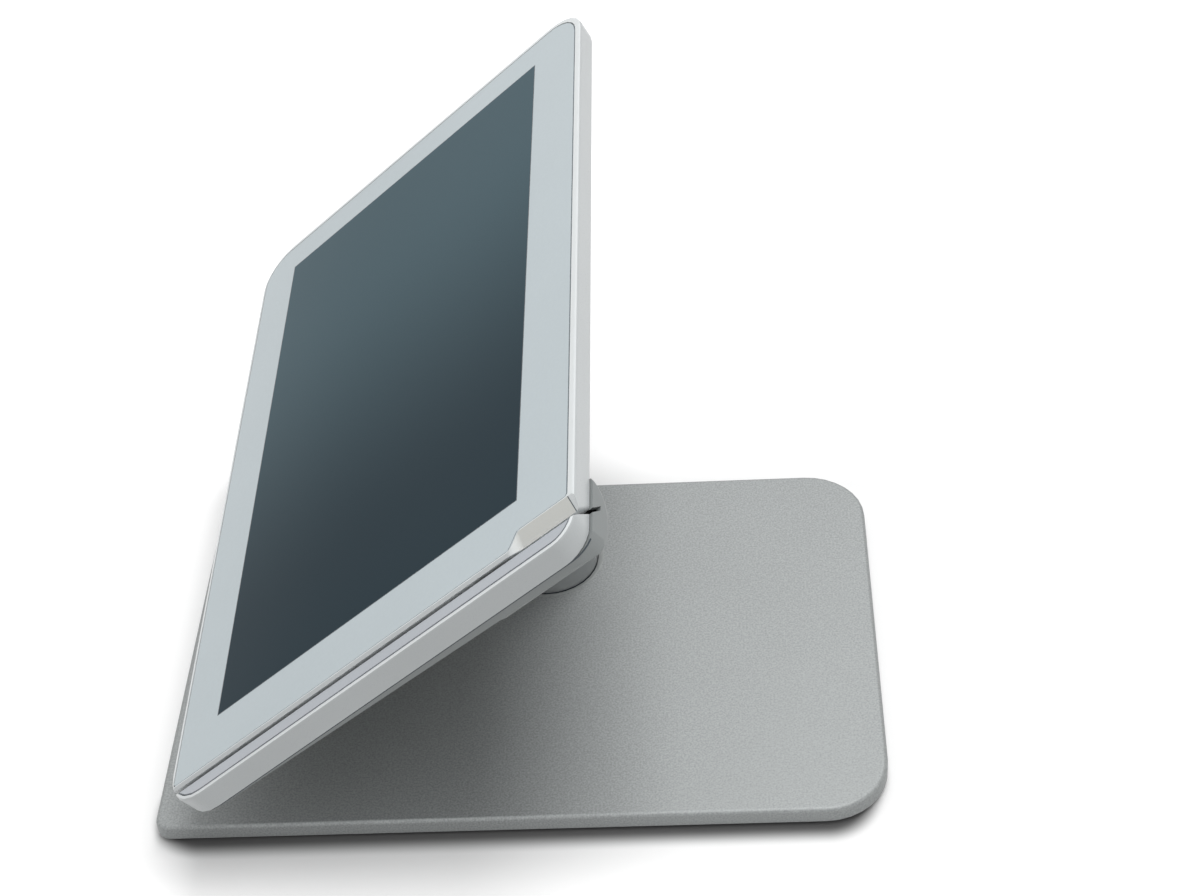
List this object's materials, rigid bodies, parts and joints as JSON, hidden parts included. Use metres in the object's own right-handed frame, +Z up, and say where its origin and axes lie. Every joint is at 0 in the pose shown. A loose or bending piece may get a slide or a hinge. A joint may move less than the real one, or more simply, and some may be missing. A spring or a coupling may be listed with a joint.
{
  "type": "pos terminal",
  "caption": "Counter terminal with a leaning touch display, a card slot down its right side, and a curved neck that swivels in a flat weighted base.",
  "frame": {"origin": "on the table under the middle of the base's rectangular footprint", "axes": "+Z up, +X along the base towards its rounded end, +Y across the base on the side of the swivel; at rest the screen faces -X and up, and its right side lies towards -Y"},
  "size_m": [0.261, 0.3112, 0.1663],
  "materials": {
    "satin_silver": "satin",
    "bare_steel": "brushed",
    "rubber": "matt",
    "case_grey": "satin",
    "neck_metal": "satin painted",
    "case_white": "satin",
    "cover_glass": "polished, printed on the back",
    "panel": "dark",
    "strip_lavender": "polished",
    "black_plastic": "matt",
    "slip_plastic": "matt",
    "board_green": "satin",
    "copper": "satin",
    "magnesium": "cast"
  },
  "bodies": {
    "base": {"base_plate": "satin_silver", "ballast_plate": "bare_steel", "ballast_screw_1": "bare_steel", "ballast_screw_2": "bare_steel", "ballast_screw_3": "bare_steel", "ballast_screw_4": "bare_steel", "base_pad": "rubber"},
    "neck_assembly": {"neck": "neck_metal", "slip_washer": "slip_plastic", "swivel_shaft": "bare_steel", "swivel_retainer": "bare_steel", "swivel_stop_pin": "bare_steel", "retainer_screw_1": "bare_steel", "retainer_screw_2": "bare_steel", "retainer_screw_3": "bare_steel", "friction_washer_left": "slip_plastic", "friction_washer_right": "slip_plastic"},
    "display": {"hinge_bracket": "neck_metal", "hinge_shaft": "bare_steel", "hinge_nut_left": "bare_steel", "hinge_nut_right": "bare_steel", "hinge_cap_left": "black_plastic", "hinge_cap_right": "black_plastic", "bracket_screw_1": "bare_steel", "bracket_screw_2": "bare_steel", "bracket_screw_3": "bare_steel", "bracket_screw_4": "bare_steel", "front_frame": "case_white", "touch_glass": "cover_glass", "reader_rail": "case_white", "rail_strip": "strip_lavender", "reader_body": "black_plastic", "head_holder": "black_plastic", "head_spring": "bare_steel", "lcd_panel": "panel", "inner_chassis": "magnesium", "main_board": "board_green", "reader_board": "board_green", "socket_board": "board_green", "switch_board": "board_green", "shield_can": "bare_steel", "heat_spreader": "copper", "speaker_left": "black_plastic", "speaker_right": "black_plastic", "supply_socket": "bare_steel", "rear_shell": "case_grey", "shell_screw_1": "bare_steel", "shell_screw_2": "bare_steel", "shell_screw_3": "bare_steel", "shell_screw_4": "bare_steel", "rail_screw_1": "bare_steel", "rail_screw_2": "bare_steel"},
    "sprung_head": {"reader_head": "bare_steel"},
    "button": {"power_button": "satin_silver"}
  },
  "joints": [
    {"name": "display_swivel", "type": "hinge", "parent": "base", "child": "neck_assembly", "pos_m": [0.005, 0.0447, 0.006], "axis": [0, 0, 1], "range_deg": [-91.3, 88.7]},
    {"name": "display_tilt", "type": "hinge", "parent": "neck_assembly", "child": "display", "pos_m": [-0.03073, 0.04389, 0.07025], "axis": [0.0227, -0.9997, 0], "range_deg": [-20, 20]},
    {"name": "reader_head_press", "type": "slide", "parent": "display", "child": "sprung_head", "axis": [0.459, -0.7091, -0.5352], "range_m": [0, 0.0005], "stiffness_N_per_m": 2000},
    {"name": "power_button_press", "type": "slide", "parent": "display", "child": "button", "axis": [-0.6373, -0.0145, 0.7705], "range_m": [0, 0.0004], "stiffness_N_per_m": 4000}
  ]
}
